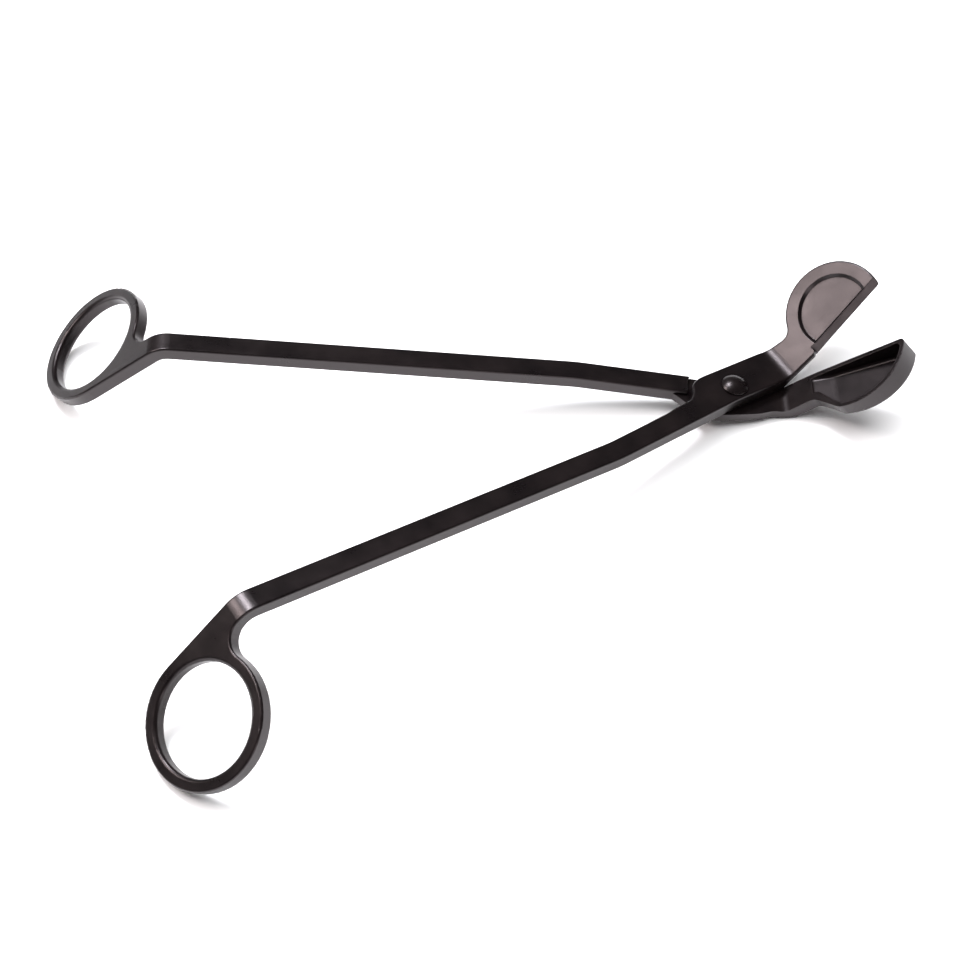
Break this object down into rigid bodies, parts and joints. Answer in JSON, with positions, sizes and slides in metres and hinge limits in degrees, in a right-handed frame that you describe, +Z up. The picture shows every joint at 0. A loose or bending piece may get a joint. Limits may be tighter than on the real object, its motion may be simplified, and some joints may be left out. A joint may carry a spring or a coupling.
{
  "type": "wick trimmer",
  "caption": "Long-handled scissor-action trimmer: flat half-round blade over a shallow half-round cup, upturned jaws, one rivet, and finger rings bent down from slim bars",
  "frame": {"origin": "on the table under the middle of the bounding box, the trimmer lying open on both finger rings and the bend of the cup lever", "axes": "+X from the finger rings towards the jaws, along the longest extent; +Y towards the cup lever's finger ring; +Z up from the table"},
  "size_m": [0.1756, 0.128, 0.0242],
  "materials": {
    "black_steel": "satin black coating over forged steel, finely brushed",
    "rivet_steel": "satin black coating, slightly glossier dome"
  },
  "bodies": {
    "lower_half": {"cup_lever": "black_steel", "pivot_rivet": "rivet_steel"},
    "upper_half": {"blade_lever": "black_steel"}
  },
  "joints": [
    {"name": "pivot", "type": "hinge", "parent": "lower_half", "child": "upper_half", "pos_m": [0.05067, 0.0001, 0.00412], "axis": [0.1533, -0.0211, 0.9879], "range_deg": [-31, 25]}
  ]
}
